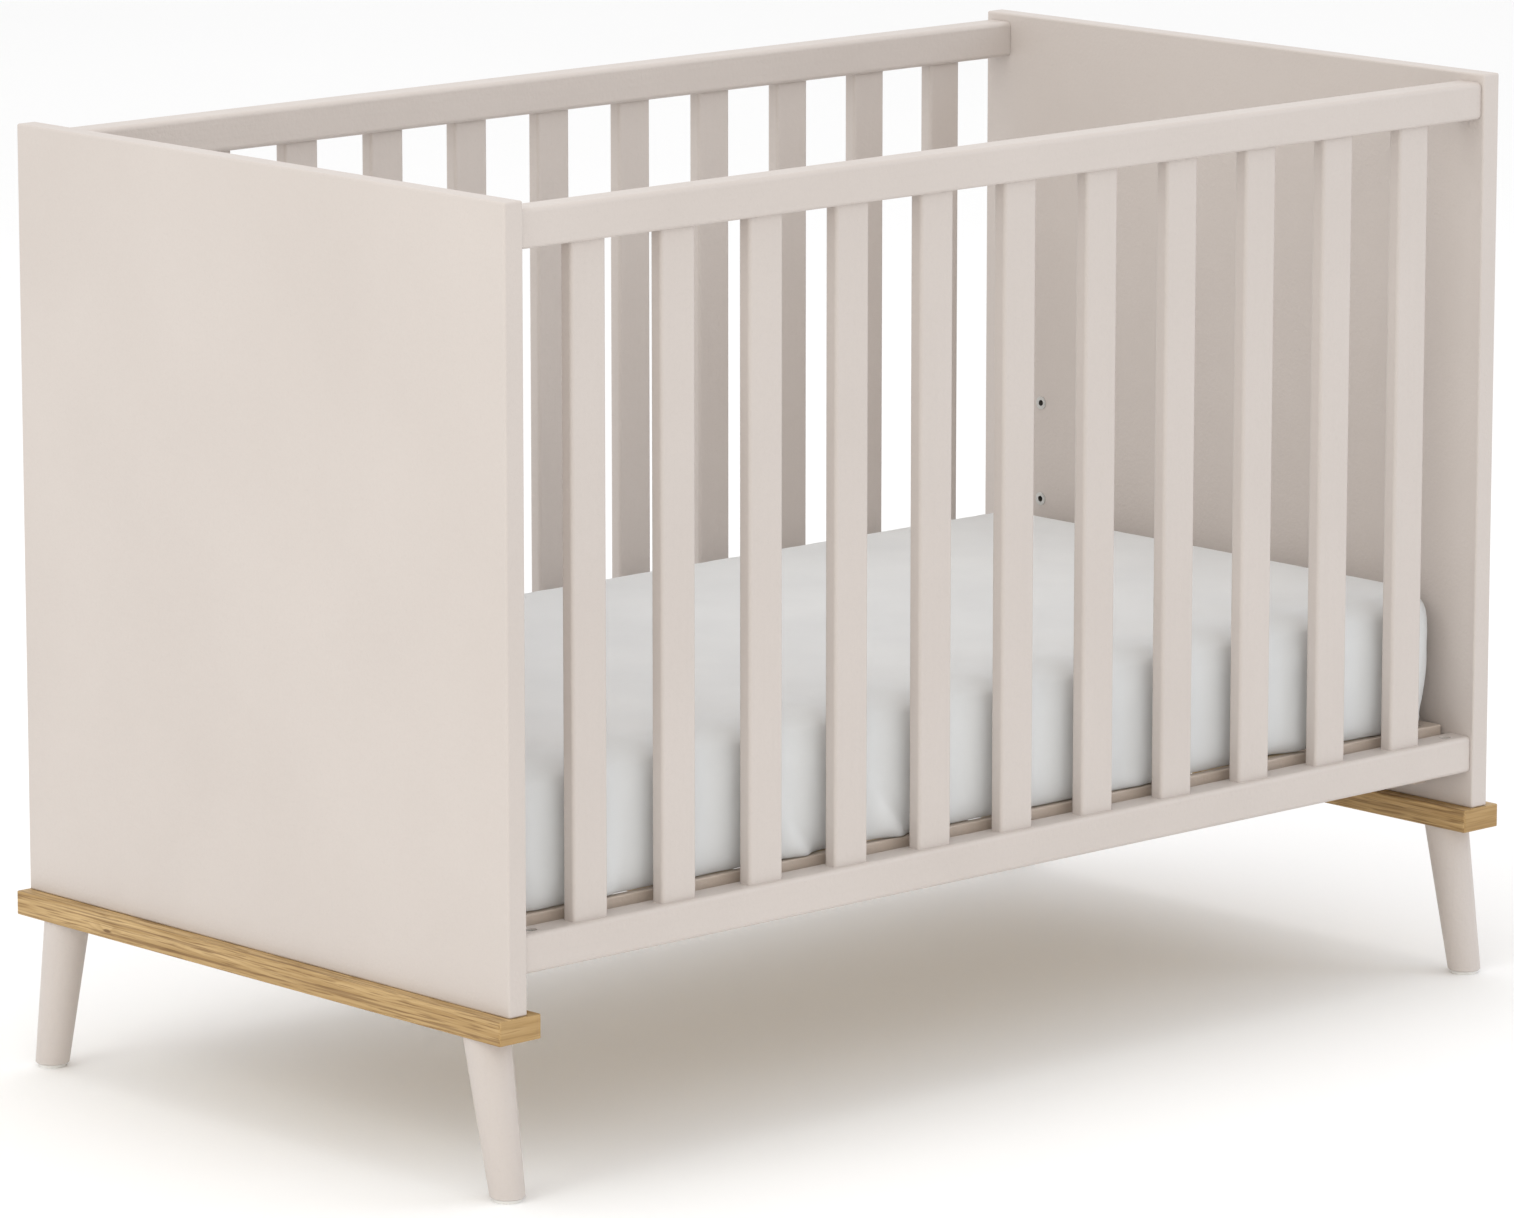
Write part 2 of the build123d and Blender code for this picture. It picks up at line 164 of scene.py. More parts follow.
def span(tree, value, low, high, new_low=0.0, new_high=1.0):
    """Maps low..high to new_low..new_high, clamped."""
    inputs = {"Value": value, 1: low, 2: high, 3: new_low, 4: new_high}
    return node(tree, "ShaderNodeMapRange", inputs).outputs["Result"]


def mix(tree, factor, a, b, blend="MIX"):
    """Mixes two colours, or two points."""
    made = node(tree, "ShaderNodeMix", data_type="RGBA", blend_type=blend)
    for socket, value in ((made.inputs[0], factor), (made.inputs[6], a), (made.inputs[7], b)):
        if isinstance(value, bpy.types.NodeSocket):
            tree.links.new(value, socket)
        else:
            socket.default_value = value
    return made.outputs[2]


def place(tree, scale=(1, 1, 1)):
    """The point on the object in metres, scaled along each axis."""
    point = node(tree, "ShaderNodeTexCoord").outputs["Object"]
    return node(tree, "ShaderNodeMapping", {"Vector": point, "Scale": scale}).outputs[0]


def cloud(tree, where, scale, detail=2.0, distortion=0.0):
    """Noise between 0 and 1, with blobs about 1 / scale metres apart."""
    inputs = {"Vector": where, "Scale": scale, "Detail": detail, "Distortion": distortion}
    return node(tree, "ShaderNodeTexNoise", inputs).outputs["Fac"]


def bump(tree, height, distance, below=None):
    """A Bump node of the given height in metres, on top of another one."""
    inputs = {"Height": height, "Distance": distance, "Strength": 1.0}
    if below is not None:
        inputs["Normal"] = below
    return node(tree, "ShaderNodeBump", inputs).outputs["Normal"]


def edge_wear(tree, radius):
    """0 on flat faces and 1 along edges, where hands and cloths wear a surface."""
    rounded = node(tree, "ShaderNodeBevel", {"Radius": radius}, samples=6).outputs[0]
    normal = node(tree, "ShaderNodeNewGeometry").outputs["Normal"]
    product = node(tree, "ShaderNodeVectorMath", {0: rounded, 1: normal},
                   operation="DOT_PRODUCT")
    return span(tree, product.outputs["Value"], 0.995, 0.90)


def rgb(red, green, blue):
    """A colour as a shader socket takes it."""
    return (red, green, blue, 1.0)


# ---------------------------------------------------------------- materials

def floor_material():
    """Matt, pale and nearly even."""
    material, tree, shader = new_material("pale_floor")
    where = place(tree)
    patches = cloud(tree, where, 0.8)
    colour = mix(tree, patches, rgb(0.96, 0.96, 0.96), rgb(0.985, 0.985, 0.985))
    tree.links.new(colour, shader.inputs["Base Color"])
    tree.links.new(span(tree, patches, 0, 1, 0.75, 0.85), shader.inputs["Roughness"])
    tree.links.new(bump(tree, cloud(tree, where, 120), 0.0002), shader.inputs["Normal"])
    return material


LACQUER = rgb(0.565, 0.508, 0.472), rgb(0.589, 0.532, 0.496)
# Painted shade: the base boards have the same lacquer as the rest, tinted warmer and browner as
# it looks in the shade under the mattress.
SHADED_BASE_LACQUER = rgb(0.585, 0.490, 0.415), rgb(0.610, 0.515, 0.440)
GRAIN_X = (9, 260, 260)      # how often a grain along X changes per metre, along each axis
GRAIN_Y = (260, 9, 260)
GRAIN_Z = (260, 260, 9)


def lacquer(name, grain=None, shades=LACQUER):
    """Warm grey-white satin lacquer. grain stretches the faint grain that shows through it.
    shades are its two tones; for the base boards these are the same lacquer tinted warmer, as
    painted shade.
    """
    material, tree, shader = new_material(name)
    where = place(tree)
    patches = cloud(tree, where, 5.0, 3.0)
    colour = mix(tree, span(tree, patches, 0.3, 0.7), *shades)
    speckle = cloud(tree, where, 420, 1.0)
    colour = mix(tree, span(tree, speckle, 0.55, 0.75, 0.0, 0.16), colour,
                 rgb(0.50, 0.455, 0.42))
    if grain:
        lines = cloud(tree, place(tree, grain), 1.0, 3.0)
        colour = mix(tree, span(tree, lines, 0.5, 0.75, 0.0, 0.10), colour,
                     rgb(0.51, 0.465, 0.43))
    wear = edge_wear(tree, 0.003)
    colour = mix(tree, calc(tree, "MULTIPLY", wear, 0.35), colour, rgb(0.65, 0.61, 0.58))
    tree.links.new(colour, shader.inputs["Base Color"])
    rough = span(tree, cloud(tree, where, 30, 2.0), 0.3, 0.7, 0.40, 0.50)
    rough = calc(tree, "SUBTRACT", rough, calc(tree, "MULTIPLY", wear, 0.06))
    tree.links.new(rough, shader.inputs["Roughness"])
    peel = bump(tree, cloud(tree, where, 260, 2.0), 0.00035)
    if grain:
        peel = bump(tree, lines, 0.0002, peel)
    tree.links.new(peel, shader.inputs["Normal"])
    shader.inputs["Specular IOR Level"].default_value = 0.42
    shader.inputs["Coat Weight"].default_value = 0.08
    shader.inputs["Coat Roughness"].default_value = 0.30
    return material


def end_face(tree, axis):
    """1 on the ends of a board whose grain runs along an axis, and 0 elsewhere."""
    normal = node(tree, "ShaderNodeNewGeometry").outputs["Normal"]
    facing = node(tree, "ShaderNodeSeparateXYZ", {0: normal}).outputs[axis]
    return span(tree, calc(tree, "ABSOLUTE", facing), 0.70, 0.72)


def wood_place(tree, axis, end):
    """The point in the wood, turned so that the grain always runs along the first axis.

    Where end is 1, on the glued edge band of a board's end, the grain runs along the band."""
    point = node(tree, "ShaderNodeTexCoord").outputs["Object"]
    parts = node(tree, "ShaderNodeSeparateXYZ", {0: point}).outputs
    along, across = parts[axis], parts[1 - axis]
    turned = node(tree, "ShaderNodeCombineXYZ", {0: along, 1: across, 2: parts[2]}).outputs[0]
    if end is None:
        return turned
    swapped = node(tree, "ShaderNodeCombineXYZ", {0: across, 1: along, 2: parts[2]})
    return mix(tree, end, turned, swapped.outputs[0])


def stretch(tree, where, along, across):
    """Scales a point in the wood along the grain and across it."""
    inputs = {"Vector": where, "Scale": (along, across, across)}
    return node(tree, "ShaderNodeMapping", inputs).outputs[0]


def from_knot(tree, where, knot):
    """The distance from the middle of a knot that is about four times as long as high."""
    away = node(tree, "ShaderNodeVectorMath", {0: where, 1: knot}, operation="SUBTRACT")
    flat = node(tree, "ShaderNodeVectorMath", {0: away.outputs[0], 1: (0.3, 1.0, 1.2)},
                operation="MULTIPLY")
    size = node(tree, "ShaderNodeVectorMath", {0: flat.outputs[0]}, operation="LENGTH")
    return size.outputs["Value"]


def ring_lines(tree, where, ring, heart, spot):
    """The late wood of each growth ring: 1 on its dark line, and 0 between.

    spot is the distance from a knot, which the rings bend round, or None."""
    point = node(tree, "ShaderNodeSeparateXYZ", {0: where}).outputs
    side = calc(tree, "SUBTRACT", point[1], heart[0])
    rise = calc(tree, "SUBTRACT", point[2], heart[1])
    squares = calc(tree, "ADD", calc(tree, "MULTIPLY", side, side),
                   calc(tree, "MULTIPLY", rise, rise))
    sway = cloud(tree, stretch(tree, where, 3.0, 22.0), 1.0, 3.0)
    distance = calc(tree, "ADD", calc(tree, "SQRT", squares),
                    calc(tree, "MULTIPLY", sway, ring * 9.0))
    if spot is not None:
        distance = calc(tree, "ADD", distance, span(tree, spot, 0.0, 0.009, ring * 2.0, 0.0))
    turns = calc(tree, "FRACT", calc(tree, "DIVIDE", distance, ring))
    return calc(tree, "MULTIPLY", span(tree, turns, 0.35, 0.9),
                span(tree, turns, 0.92, 1.0, 1.0, 0.0))


def wood(name, pale, dark, pores, axis, ring, heart, roughness=0.5, knot=None, banded=False):
    """Sawn wood with its grain along an axis (0 is X, 1 is Y).

    ring is the width of a growth ring, and heart the middle of the rings across the grain
    and in height. knot is the middle of one small knot. The ends of a banded board are
    darker, and show long grain as their edge bands do."""
    material, tree, shader = new_material(name)
    end = end_face(tree, axis) if banded else None
    where = wood_place(tree, axis, end)
    spot = from_knot(tree, where, knot) if knot else None
    lines = ring_lines(tree, where, ring, heart, spot)
    streaks = cloud(tree, stretch(tree, where, 7.0, 190.0), 1.0, 3.0)
    veins = cloud(tree, stretch(tree, where, 5.0, 330.0), 1.0, 1.0)
    fibres = cloud(tree, stretch(tree, where, 22.0, 620.0), 1.0, 2.0)
    broad = cloud(tree, stretch(tree, where, 2.2, 30.0), 1.0, 3.0)
    colour = mix(tree, span(tree, broad, 0.35, 0.65, 0.0, 0.6), pale, dark)
    colour = mix(tree, calc(tree, "MULTIPLY", lines, 0.5), colour, dark)
    colour = mix(tree, span(tree, streaks, 0.44, 0.64, 0.0, 0.85), colour, dark)
    colour = mix(tree, span(tree, veins, 0.58, 0.66, 0.0, 0.55), colour, pores)
    colour = mix(tree, span(tree, fibres, 0.52, 0.64, 0.0, 0.6), colour, pores)
    if spot is not None:
        colour = mix(tree, span(tree, spot, 0.0012, 0.0022, 0.95, 0.0), colour, pores)
    if banded:
        colour = mix(tree, calc(tree, "MULTIPLY", end, 0.62), colour, dark)
    wear = edge_wear(tree, 0.002)
    colour = mix(tree, calc(tree, "MULTIPLY", wear, 0.25), colour, pale)
    tree.links.new(colour, shader.inputs["Base Color"])
    rough = span(tree, fibres, 0.3, 0.7, roughness - 0.06, roughness + 0.12)
    tree.links.new(rough, shader.inputs["Roughness"])
    relief = bump(tree, fibres, 0.00025)
    relief = bump(tree, lines, 0.00010, relief)
    tree.links.new(relief, shader.inputs["Normal"])
    shader.inputs["Specular IOR Level"].default_value = 0.35
    return material


def zinc():
    """Satin zinc plating, a little blotchy."""
    material, tree, shader = new_material("zinc")
    where = place(tree)
    blotches = cloud(tree, where, 220, 3.0)
    colour = mix(tree, blotches, rgb(0.50, 0.50, 0.48), rgb(0.72, 0.72, 0.70))
    wear = edge_wear(tree, 0.0006)
    colour = mix(tree, calc(tree, "MULTIPLY", wear, 0.5), colour, rgb(0.82, 0.82, 0.80))
    tree.links.new(colour, shader.inputs["Base Color"])
    tree.links.new(span(tree, blotches, 0.2, 0.8, 0.28, 0.46), shader.inputs["Roughness"])
    tree.links.new(bump(tree, cloud(tree, where, 1800), 0.00004), shader.inputs["Normal"])
    shader.inputs["Metallic"].default_value = 1.0
    return material


def nylon():
    """Off-white moulded nylon with scuffs near the floor."""
    material, tree, shader = new_material("glide_nylon")
    where = place(tree)
    height = node(tree, "ShaderNodeSeparateXYZ", {0: where}).outputs[2]
    scuffs = calc(tree, "MULTIPLY", cloud(tree, where, 300, 4.0),
                  span(tree, height, 0.0015, 0.0))
    colour = mix(tree, cloud(tree, where, 60), rgb(0.76, 0.75, 0.72), rgb(0.82, 0.81, 0.78))
    colour = mix(tree, span(tree, scuffs, 0.35, 0.65, 0.0, 0.7), colour,
                 rgb(0.42, 0.40, 0.37))
    tree.links.new(colour, shader.inputs["Base Color"])
    rough = span(tree, cloud(tree, where, 500), 0.3, 0.7, 0.5, 0.62)
    tree.links.new(rough, shader.inputs["Roughness"])
    tree.links.new(bump(tree, cloud(tree, where, 900), 0.00006), shader.inputs["Normal"])
    return material


def weave(tree, where, pitch):
    """The height of a plain weave of threads, each pitch apart, over the cloth's own surface."""
    parts = node(tree, "ShaderNodeSeparateXYZ", {0: where})
    turn = 2 * math.pi / pitch
    waves = [calc(tree, "SINE", calc(tree, "MULTIPLY", parts.outputs[i], turn)) for i in (0, 1)]
    return calc(tree, "MULTIPLY", waves[0], waves[1])


def woven(name, pale, shade, pitch, sheen):
    """White cloth: a plain weave with painted shade in its hollows, uneven threads, and the soft
    sheen of short fibres.
    """
    material, tree, shader = new_material(name)
    cloth = node(tree, "ShaderNodeAttribute", attribute_name="cloth_place").outputs["Vector"]
    threads = weave(tree, cloth, pitch)
    slubs = []
    for scale in ((900, 60, 60), (60, 900, 60)):
        stretched = node(tree, "ShaderNodeMapping", {"Vector": cloth, "Scale": scale})
        slubs.append(cloud(tree, stretched.outputs[0], 1.0, 2.0))
    slubs = calc(tree, "ADD", *slubs)
    patches = cloud(tree, cloth, 7.0, 3.0)
    colour = mix(tree, span(tree, patches, 0.3, 0.7), pale, shade)
    colour = mix(tree, span(tree, slubs, 1.0, 1.35, 0.0, 0.35), colour, shade)
    # Painted shade: the cloth is darker in the hollows of the weave, where the threads dip.
    colour = mix(tree, span(tree, threads, -1.0, 0.2, 0.30, 0.0), colour, shade)
    tree.links.new(colour, shader.inputs["Base Color"])
    tree.links.new(span(tree, slubs, 0.7, 1.3, 0.78, 0.92), shader.inputs["Roughness"])
    relief = bump(tree, threads, pitch * 0.12)
    relief = bump(tree, slubs, 0.00012, relief)
    tree.links.new(relief, shader.inputs["Normal"])
    shader.inputs["Sheen Weight"].default_value = sheen
    shader.inputs["Sheen Roughness"].default_value = 0.5
    shader.inputs["Specular IOR Level"].default_value = 0.2
    return material


def dress(names, material):
    """Gives CAD nodes a material."""
    for name in names:
        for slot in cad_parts[name].material_slots:
            slot.material = material


def dress_frame():
    """Materials for every CAD node that stays."""
    nodes = sorted(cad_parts)
    panels = [n for n in nodes if n.endswith("_end_panel")]
    rails = [n for n in nodes if n.endswith("_rail")]
    upright = [n for n in nodes if "_bar_" in n or n.startswith(("leg_front", "leg_back"))]
    dress(panels, lacquer("lacquer_panel"))
    dress(rails, lacquer("lacquer_rail", GRAIN_X))
    dress(upright, lacquer("lacquer_bar", GRAIN_Z))

    oak = rgb(0.635, 0.445, 0.220), rgb(0.365, 0.225, 0.085), rgb(0.165, 0.085, 0.030)
    low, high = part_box("left_plinth_board")
    middle = (low + high) / 2
    knot = (0.205, low.x, middle.z - 0.0036)
    left_heart = middle.x + 0.01, middle.z - 0.06
    right_heart = -middle.x - 0.02, middle.z - 0.05
    dress(["left_plinth_board"],
          wood("oak_left", *oak, 1, 0.0036, left_heart, knot=knot, banded=True))
    dress(["right_plinth_board"],
          wood("oak_right", *oak, 1, 0.0036, right_heart, banded=True))

    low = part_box("base_front_side")[0]
    # Painted shade on the base boards: their lacquer is tinted warmer and browner, as it looks in
    # the shade under the mattress.
    dress(["base_front_side", "base_back_side"],
          lacquer("lacquer_base_side_painted_shade", GRAIN_X, SHADED_BASE_LACQUER))
    dress(["base_left_end", "base_right_end"],
          lacquer("lacquer_base_end_painted_shade", GRAIN_Y, SHADED_BASE_LACQUER))
    softwood = rgb(0.72, 0.60, 0.44), rgb(0.63, 0.50, 0.34), rgb(0.52, 0.39, 0.25)
    dress([n for n in nodes if n.startswith("base_slat_")],
          wood("slat_wood", *softwood, 1, 0.0035, (0.05, low.z - 0.20), 0.6))
    beech = rgb(0.66, 0.50, 0.32), rgb(0.56, 0.40, 0.24), rgb(0.40, 0.26, 0.14)
    dress(["rail_dowels"], wood("beech_dowels", *beech, 0, 0.0025, (0.1, 0.1), 0.55))
    dress(["foot_glides"], nylon())
    metal = ("_screws", "_bolts", "_housings", "_inserts", "_studs", "_sleeves")
    dress([n for n in nodes if n.endswith(metal)], zinc())


# ---------------------------------------------------------------- mattress and sheet

sheet_low, sheet_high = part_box("fitted_sheet")
core_low, core_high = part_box("mattress_core")
CLOTH = 0.0012               # thickness of the sheet
CORNER = 0.036               # radius of the mattress's upright corners, in plan
LOW_CORNER = 0.051           # the same at the bottom, where the hem pulls them in
TOP_EDGE = 0.030             # radius of its top edge
LOW_EDGE = 0.017             # radius of its bottom edge
HEM_UNDER = 0.046            # how far the sheet turns in under the mattress
CELL = 0.0075                # grid size of the sheet
CORE_GAP = 0.0022            # between the sheet's first shape and the mattress
CORE_CELL = 0.009            # grid size of the mattress
SLAT_GAP = 0.0002            # between the mattress or the sheet and the slats
CROWN = 0.004                # how much higher the mattress is in its middle
QUILT = 0.11                 # between the sewn channels of the mattress
CHANNEL_DEPTH = 0.0035
CHANNEL_WIDTH = 0.009        # half the width of a channel, where it is a third as deep
SIM_FRAMES = 20
MOST_MOVE = 0.012            # cap on how far the cloth moves from its first shape
CLEAR_END = 0.0018           # how far the sheet may bulge towards the end panels
CLEAR_SIDE = 0.0055          # the same towards the bars
FOLDS = {                    # foot along the side, lean in degrees, length, width, height
    "front": [(-0.116, -36, 0.110, 0.015, 0.0120), (-0.232, -38, 0.085, 0.014, 0.0100),
              (0.185, -22, 0.120, 0.026, 0.0040), (0.400, 26, 0.110, 0.024, 0.0045),
              (-0.480, 20, 0.110, 0.024, 0.0045), (0.535, 24, 0.130, 0.014, 0.0045)],
    "back": [(-0.420, -30, 0.130, 0.024, 0.0070), (-0.130, 24, 0.110, 0.026, 0.0050),
             (0.210, -34, 0.150, 0.023, 0.0080), (0.500, -24, 0.120, 0.022, 0.0050)],
    "right": [(-0.215, 24, 0.120, 0.016, 0.0035), (0.060, -30, 0.110, 0.020, 0.0035),
              (0.225, -26, 0.120, 0.016, 0.0035)],
    "left": [(-0.225, 28, 0.120, 0.016, 0.0035), (-0.030, 30, 0.110, 0.020, 0.0035),
             (0.205, -24, 0.120, 0.016, 0.0035)],
}


def profile(path, height):
    """Inset and depth of a point that has gone path metres over the top edge and on down.

    path is negative on the top, and past the height of the side it is on the underside."""
    if path < -TOP_EDGE:
        return -path, 0.0
    if path < TOP_EDGE:
        turn = (path + TOP_EDGE) / (2 * TOP_EDGE) * math.pi / 2
        return TOP_EDGE * (1 - math.sin(turn)), TOP_EDGE * (1 - math.cos(turn))
    if path < height - LOW_EDGE:
        return 0.0, path
    if path < height + LOW_EDGE:
        turn = (path - height + LOW_EDGE) / (2 * LOW_EDGE) * math.pi / 2
        return LOW_EDGE * (1 - math.cos(turn)), height - LOW_EDGE * (1 - math.sin(turn))
    return path - height, height


def smooth_step(value):
    """0 below 0, 1 above 1, and smooth between."""
    value = min(max(value, 0.0), 1.0)
    return value * value * (3 - 2 * value)


def corner_radius(path, height):
    """The radius of the upright corners in plan, this far over the top edge and down."""
    return CORNER + (LOW_CORNER - CORNER) * smooth_step(path / height * 2 - 1)


def wrapped(x, y, path, low, high):
    """Where a point lies on a rounded block between two corners.

    x and y place it in plan, and path says how far over the top edge and down it is."""
    half_x, half_y = (high.x - low.x) / 2, (high.y - low.y) / 2
    rounding = corner_radius(path, high.z - low.z)
    corner_x = abs(x) - (half_x - rounding)
    corner_y = abs(y) - (half_y - rounding)
    sign_x, sign_y = math.copysign(1, x), math.copysign(1, y)
    inset, depth = profile(path, high.z - low.z)
    if corner_x > 0 and corner_y > 0:
        length = math.hypot(corner_x, corner_y)
        radius = max(rounding - inset, 0.004)
        out_x = half_x - rounding + corner_x / length * radius
        out_y = half_y - rounding + corner_y / length * radius
        return Vector((sign_x * out_x, sign_y * out_y, high.z - depth))
    if half_x - abs(x) < half_y - abs(y):
        return Vector((sign_x * (half_x - inset), y, high.z - depth))
    return Vector((x, sign_y * (half_y - inset), high.z - depth))


def rim(columns, rows):
    """The grid points round the edge of the top, in order, each with its way out."""
    edge = [(i, 0, Vector((0, -1, 0))) for i in range(columns)]
    edge += [(columns, j, Vector((1, 0, 0))) for j in range(rows)]
    edge += [(i, rows, Vector((0, 1, 0))) for i in range(columns, 0, -1)]
    edge += [(0, j, Vector((-1, 0, 0))) for j in range(rows, 0, -1)]
    return edge


def smooth_piece(name, built):
    """Turns a bmesh into an object with smooth faces that all face out."""
    bmesh.ops.recalc_face_normals(built, faces=built.faces)
    mesh = bpy.data.meshes.new(name)
    built.to_mesh(mesh)
    built.free()
    for face in mesh.polygons:
        face.use_smooth = True
    piece = bpy.data.objects.new(name, mesh)
    scene.collection.objects.link(piece)
    return piece


def wrap_mesh(name, low, high, cell, under):
    """A rounded block as a grid over the top and down the sides, then in under the bottom.

    under is how far it turns in, or None for a block that is closed beneath.
    Each point also keeps its place on the flat cloth, for the weave."""
    half_x, half_y = (high.x - low.x) / 2, (high.y - low.y) / 2
    height = high.z - low.z
    columns = round(2 * half_x / cell)
    rows = round(2 * half_y / cell)
    xs = [-half_x + 2 * half_x * i / columns for i in range(columns + 1)]
    ys = [-half_y + 2 * half_y * j / rows for j in range(rows + 1)]
    built = bmesh.new()
    flat = built.verts.layers.float_vector.new("cloth_place")

    def point(x, y, path, out):
        vertex = built.verts.new(wrapped(x, y, path, low, high))
        vertex[flat] = Vector((x, y, 0)) + out * path
        return vertex

    def inset(x, y):
        return min(half_x - abs(x), half_y - abs(y))

    top = [[point(x, y, -inset(x, y), Vector()) for y in ys] for x in xs]
    for i in range(columns):
        for j in range(rows):
            built.faces.new((top[i][j], top[i + 1][j], top[i + 1][j + 1], top[i][j + 1]))

    edge = rim(columns, rows)
    length = height + (under or 0.0)
    levels = round(length / cell)
    above = [top[i][j] for i, j, out in edge]
    for level in range(1, levels + 1):
        ring = [point(xs[i], ys[j], length * level / levels, out) for i, j, out in edge]
        for a, b in zip(range(len(ring)), [*range(1, len(ring)), 0]):
            built.faces.new((above[a], ring[a], ring[b], above[b]))
        above = ring
    if under is None:
        at = {(i, j): vertex for (i, j, out), vertex in zip(edge, above)}
        for i in range(1, columns):
            for j in range(1, rows):
                at[i, j] = point(xs[i], ys[j], height + inset(xs[i], ys[j]), Vector())
        for i in range(columns):
            for j in range(rows):
                built.faces.new((at[i, j], at[i, j + 1], at[i + 1, j + 1], at[i + 1, j]))
    return smooth_piece(name, built)


def side_path(point):
    """How far down the side a point is: 0 at the top edge, 1 at the bottom."""
    return min(max((sheet_high.z - point.z) / (sheet_high.z - sheet_low.z), 0.0), 1.0)


def fold_lift(along, rise, fold):
    """How far one fold stands out. along and rise place the point on its side of the mattress."""
    foot, lean, length, width, height = fold
    lean = math.radians(lean)
    up = (along - foot) * math.sin(lean) + rise * math.cos(lean)
    across = (along - foot) * math.cos(lean) - rise * math.sin(lean)
    steep = width * (0.45 if across > 0 else 1.5)
    fade = smooth_step(1 - up / length) * smooth_step(1 + up / 0.02)
    return height * math.exp(-(across / steep) ** 2) * fade


def hem_lift(along, rise, fold):
    """How far the hem is drawn up, just beside the foot of one fold."""
    foot, height = fold[0], fold[4]
    beside = (along - foot + 0.018) / 0.016
    return 0.6 * height * math.exp(-beside ** 2) * smooth_step(1 - rise / 0.03)


def side_place(point, normal):
    """The side of the mattress that a point is on, and how far along that side it is."""
    if abs(normal.y) > abs(normal.x):
        return ("front", point.x) if normal.y < 0 else ("back", -point.x)
    return ("right", point.y) if normal.x > 0 else ("left", -point.y)


def seed_folds(sheet):
    """The first folds, which the cloth then evens out: leaning ones where the hem is caught up,
    a few soft ones elsewhere, and slack cloth low on the sides."""
    points = [vertex.co.copy() for vertex in sheet.data.vertices]
    normals = [vertex.normal.copy() for vertex in sheet.data.vertices]
    for vertex, p, normal in zip(sheet.data.vertices, points, normals):
        fall = side_path(p)
        drift = noise.noise(Vector((p.x * 5, p.y * 5, 3.1)))
        ripple = noise.noise(Vector((p.x * 17, p.y * 17, p.z * 4)))
        lift = 0.0008 * drift + 0.0030 * ripple * smooth_step(fall * 1.6 - 0.3)
        raised = 0.0
        if math.hypot(normal.x, normal.y) > 0.3:
            side, along = side_place(p, normal)
            rise = p.z - sheet_low.z
            lift += sum(fold_lift(along, rise, fold) for fold in FOLDS[side])
            raised = sum(hem_lift(along, rise, fold) for fold in FOLDS[side])
        vertex.co = p + normal * lift + Vector((0, 0, raised))


def mark_cloth(sheet):
    """Groups of points: the hem, which is held, and the sides, which have slack."""
    held = sheet.vertex_groups.new(name="held")
    slack = sheet.vertex_groups.new(name="slack")
    for vertex in sheet.data.vertices:
        fall = side_path(vertex.co)
        inside = min(sheet_high.x - abs(vertex.co.x), sheet_high.y - abs(vertex.co.y))
        if fall > 0.97 and inside > 0.018:
            held.add([vertex.index], 1.0, "REPLACE")
        slack.add([vertex.index], fall ** 1.5, "REPLACE")


def add_cloth(sheet):
    """Gives the sheet the stiffness and weight of tight cotton, with a little slack."""
    cloth = sheet.modifiers.new("cloth", "CLOTH")
    settings = cloth.settings
    settings.quality = 5
    settings.mass = 0.12
    settings.tension_stiffness = 12
    settings.compression_stiffness = 12
    settings.shear_stiffness = 4
    settings.bending_stiffness = 1.5
    settings.air_damping = 3
    settings.vertex_group_mass = "held"
    settings.vertex_group_shrink = "slack"
    settings.shrink_min = 0.0
    settings.shrink_max = -0.05
    cloth.collision_settings.distance_min = 0.0012
    cloth.point_cache.frame_start = 1
    cloth.point_cache.frame_end = SIM_FRAMES
    return cloth


def settle(sheet, core):
    """Lets the sheet settle on the mattress as cloth, and keeps the result in its mesh."""
    start = [v.co.copy() for v in sheet.data.vertices]
    mark_cloth(sheet)
    block = core.modifiers.new("collision", "COLLISION")
    core.collision.thickness_outer = 0.0008
    core.collision.cloth_friction = 8
    cloth = add_cloth(sheet)
    for number in range(1, SIM_FRAMES + 1):
        scene.frame_set(number)
    shown = sheet.evaluated_get(bpy.context.evaluated_depsgraph_get())
    settled = [v.co.copy() for v in shown.data.vertices]
    sheet.modifiers.remove(cloth)
    core.modifiers.remove(block)
    scene.frame_set(1)
    for vertex, before, after in zip(sheet.data.vertices, start, settled):
        move = after - before
        if move.length > MOST_MOVE:
            move *= MOST_MOVE / move.length
        vertex.co = before + move
    keep_clear(sheet)


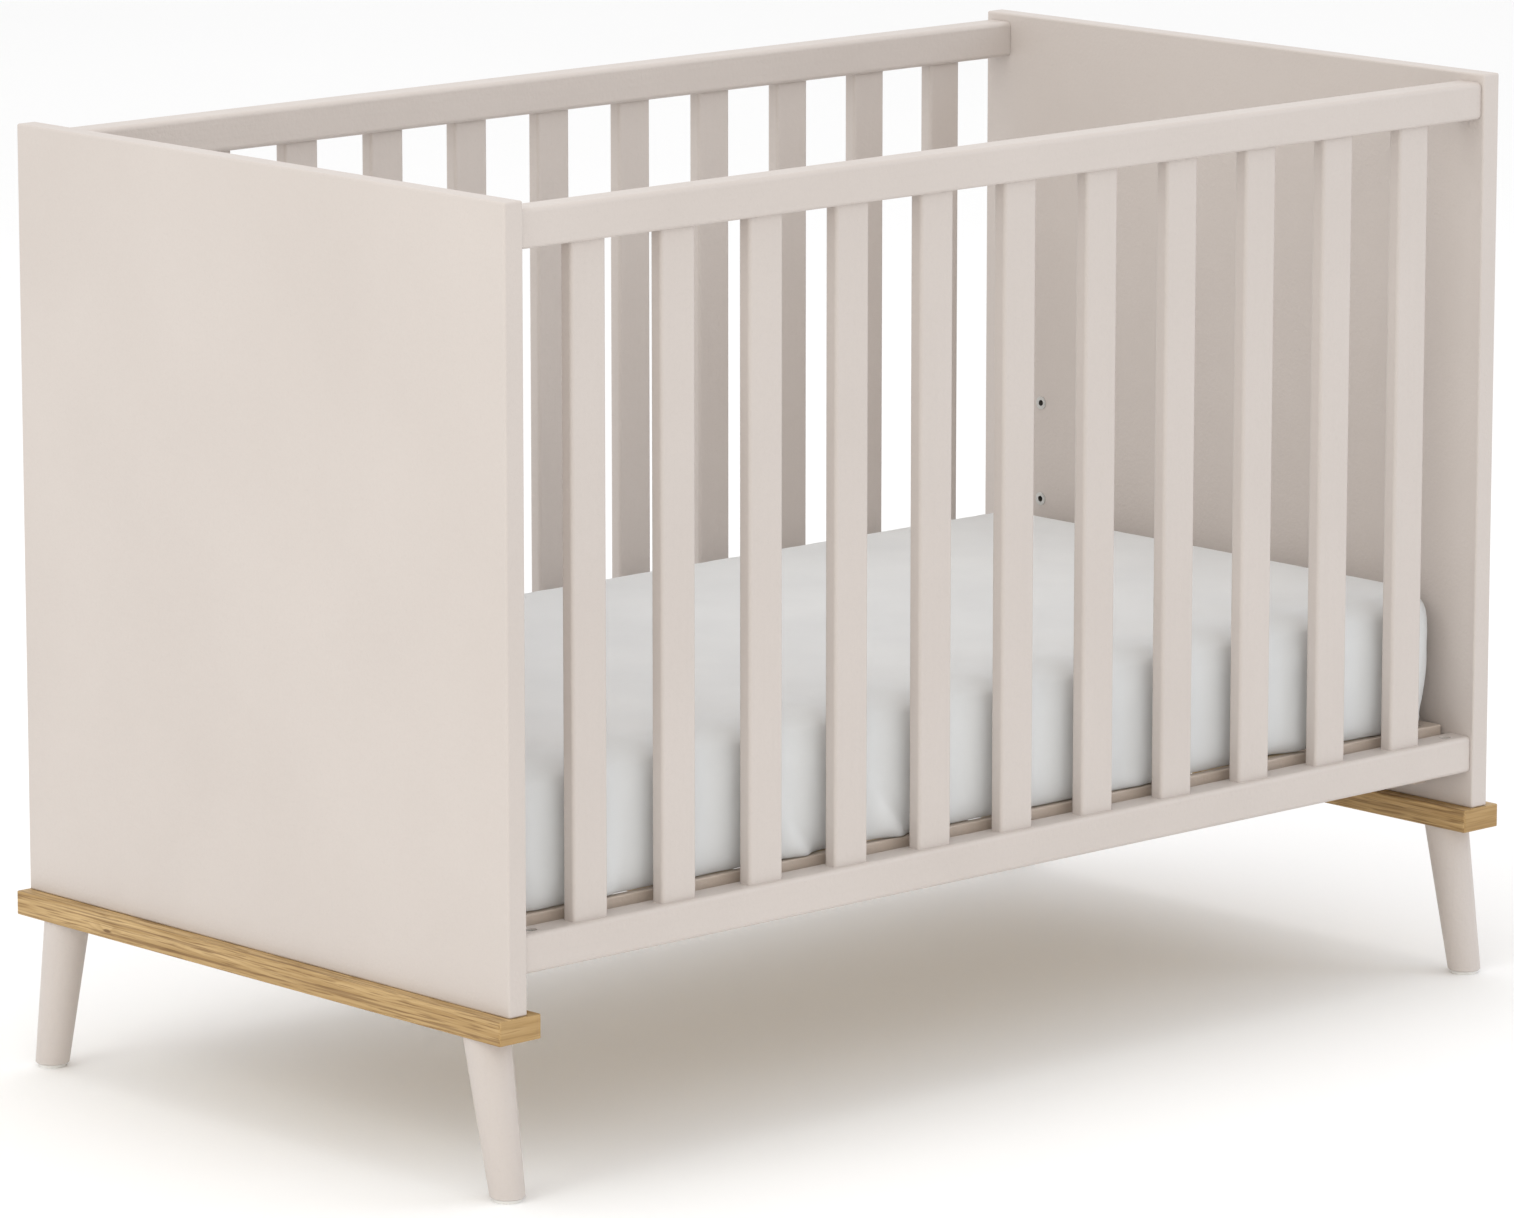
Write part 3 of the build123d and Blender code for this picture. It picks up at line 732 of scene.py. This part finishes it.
def keep_clear(sheet):
    """Keeps the cloth off the end panels and the bars, and above the slats."""
    for vertex in sheet.data.vertices:
        p = vertex.co
        p.x = min(max(p.x, sheet_low.x - CLEAR_END), sheet_high.x + CLEAR_END)
        p.y = min(max(p.y, sheet_low.y - CLEAR_SIDE), sheet_high.y + CLEAR_SIDE)
        p.z = max(p.z, sheet_low.z + SLAT_GAP)


def shape_core(core):
    """Crowns the mattress a little, and sews shallow channels in a diamond pattern beneath.

    Near its edge the underside keeps clear of the slats by the thickness of the sheet."""
    for vertex in core.data.vertices:
        p = vertex.co
        swell = max(0.0, 1 - (p.x / core_high.x) ** 4) * max(0.0, 1 - (p.y / core_high.y) ** 4)
        if p.z > core_high.z - 0.02:
            p.z += CROWN * (swell - 1)
        inside = min(core_high.x - abs(p.x), core_high.y - abs(p.y))
        if p.z < core_low.z + 0.004 and inside > 0.02:
            line = min(abs((p.x + s * p.y) / QUILT % 1 - 0.5) for s in (1, -1)) * QUILT
            channel = math.exp(-(line / CHANNEL_WIDTH) ** 2)
            belly = smooth_step((inside - 0.05) / 0.03)
            lift = SLAT_GAP + CORE_GAP * (1 - belly) + CHANNEL_DEPTH * channel
            p.z = sheet_low.z + lift


def make_mattress():
    """The foam mattress in its ticking, which carries the sheet."""
    gap = Vector((CORE_GAP, CORE_GAP, CORE_GAP))
    core = wrap_mesh("mattress", sheet_low + gap, sheet_high - gap, CORE_CELL, None)
    shape_core(core)
    core.data.materials.append(woven("ticking", rgb(0.84, 0.83, 0.80), rgb(0.76, 0.75, 0.72),
                                     0.0016, 0.15))
    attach(core, "mattress")
    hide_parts("mattress_core")
    return core


def make_sheet(core):
    """The white fitted sheet, stretched over the mattress and turned in under it."""
    sheet = wrap_mesh("sheet", sheet_low, sheet_high, CELL, HEM_UNDER)
    seed_folds(sheet)
    settle(sheet, core)
    thick = sheet.modifiers.new("thickness", "SOLIDIFY")
    thick.thickness = CLOTH
    thick.offset = -1
    smooth = sheet.modifiers.new("smooth", "SUBSURF")
    smooth.levels = 1
    smooth.render_levels = 1
    sheet.data.materials.append(woven("sheet_cotton", rgb(0.805, 0.815, 0.815),
                                      rgb(0.745, 0.755, 0.76), 0.0009, 0.25))
    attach(sheet, "mattress")
    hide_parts("fitted_sheet")


add_camera()
add_studio()
add_floor()
dress_frame()
make_sheet(make_mattress())
